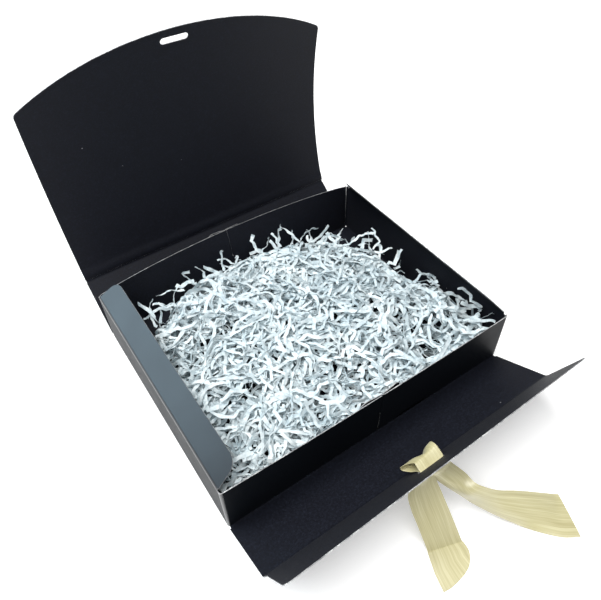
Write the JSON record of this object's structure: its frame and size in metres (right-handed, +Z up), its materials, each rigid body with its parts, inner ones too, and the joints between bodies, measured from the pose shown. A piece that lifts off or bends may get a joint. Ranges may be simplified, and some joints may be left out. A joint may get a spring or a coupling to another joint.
{
  "type": "gift box",
  "caption": "Open folding-carton gift box with an arched lid, dust flaps, hooked end panels, a front flap with a ribbon closure, and a bed of shredded paper.",
  "frame": {"origin": "centre of the underside of the base panel", "axes": "+X to the right along the lid fold, +Y to the back where the lid is hinged, +Z up"},
  "size_m": [0.25, 0.3749, 0.2189],
  "materials": {
    "black_card": "black card, uncoated inside and satin outside",
    "ribbon_satin": "ivory satin",
    "shredded_paper": "white translucent tissue paper shreds"
  },
  "bodies": {
    "tray": {"base_panel": "black_card", "left_wall": "black_card", "right_wall": "black_card", "front_lock_panel_left": "black_card", "front_lock_panel_right": "black_card", "back_lock_panel_left": "black_card", "back_lock_panel_right": "black_card", "shredded_paper_fill": "shredded_paper", "ribbon_left_tail": "ribbon_satin", "ribbon_right_tail": "ribbon_satin"},
    "back_panel": {"back_panel": "black_card"},
    "lid": {"lid": "black_card"},
    "front_panel": {"front_panel": "black_card"},
    "front_flap": {"front_flap": "black_card", "ribbon_loop": "ribbon_satin"},
    "left_dust_flap": {"left_dust_flap": "black_card"},
    "right_dust_flap": {"right_dust_flap": "black_card"}
  },
  "joints": [
    {"name": "back_panel_fold", "type": "hinge", "parent": "tray", "child": "back_panel", "pos_m": [0, 0.1016, 0.0003], "axis": [1, 0, 0], "range_deg": [-36, 54]},
    {"name": "lid_fold", "type": "hinge", "parent": "back_panel", "child": "lid", "pos_m": [0, 0.1431, 0.03045], "axis": [1, 0, 0], "range_deg": [-36, 36]},
    {"name": "front_panel_fold", "type": "hinge", "parent": "tray", "child": "front_panel", "pos_m": [0, -0.1016, 0.0003], "axis": [-1, 0, 0], "range_deg": [-26, 64], "deforming": ["ribbon_left_tail", "ribbon_right_tail"]},
    {"name": "front_flap_fold", "type": "hinge", "parent": "front_panel", "child": "front_flap", "pos_m": [0, -0.1469, 0.02239], "axis": [-1, 0, 0], "range_deg": [-38.5, 51.5], "deforming": ["ribbon_loop"]},
    {"name": "left_dust_flap_fold", "type": "hinge", "parent": "tray", "child": "left_dust_flap", "pos_m": [-0.1247, 0, 0.0498], "axis": [0, 1, 0], "range_deg": [-23.4, 35]},
    {"name": "right_dust_flap_fold", "type": "hinge", "parent": "tray", "child": "right_dust_flap", "pos_m": [0.1247, 0, 0.0498], "axis": [0, -1, 0], "range_deg": [-35.1, 52.5]}
  ],
  "couplings": [
    {"joint": "left_dust_flap_fold", "follows": "back_panel_fold", "ratio": 0.64815},
    {"joint": "right_dust_flap_fold", "follows": "back_panel_fold", "ratio": 0.97222}
  ]
}
